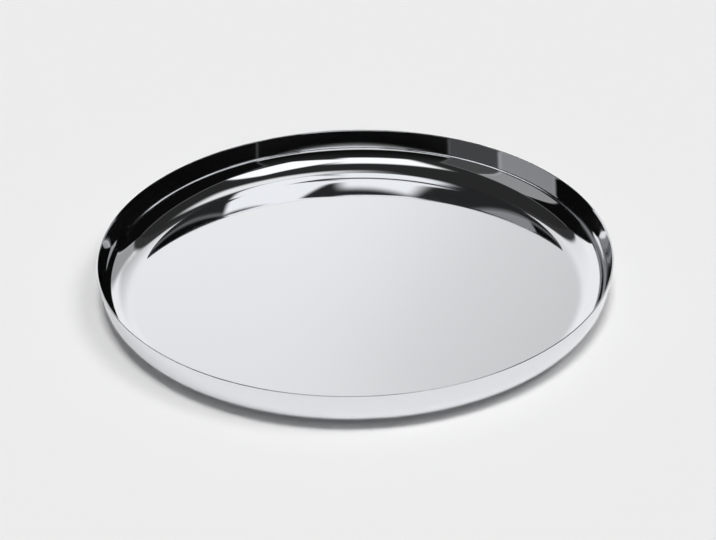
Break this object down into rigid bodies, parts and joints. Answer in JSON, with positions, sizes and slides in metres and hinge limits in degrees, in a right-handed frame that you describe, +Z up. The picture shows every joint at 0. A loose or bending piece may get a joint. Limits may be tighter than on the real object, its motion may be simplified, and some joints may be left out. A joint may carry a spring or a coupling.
{
  "type": "thali plate",
  "caption": "Round polished steel thali plate drawn from one sheet: flat base, coved corner, low and slightly bowed wall leaning outward, and a plain rounded rim edge.",
  "frame": {"origin": "centre of the underside of the flat base, on the surface that the plate stands on", "axes": "+Z up along the plate's axis of revolution; X and Y lie in the base, and the plate is the same all round"},
  "size_m": [0.3, 0.3, 0.025],
  "materials": {
    "polished_steel": "mirror-polished stainless steel"
  },
  "bodies": {
    "root": {"plate": "polished_steel"}
  },
  "joints": []
}
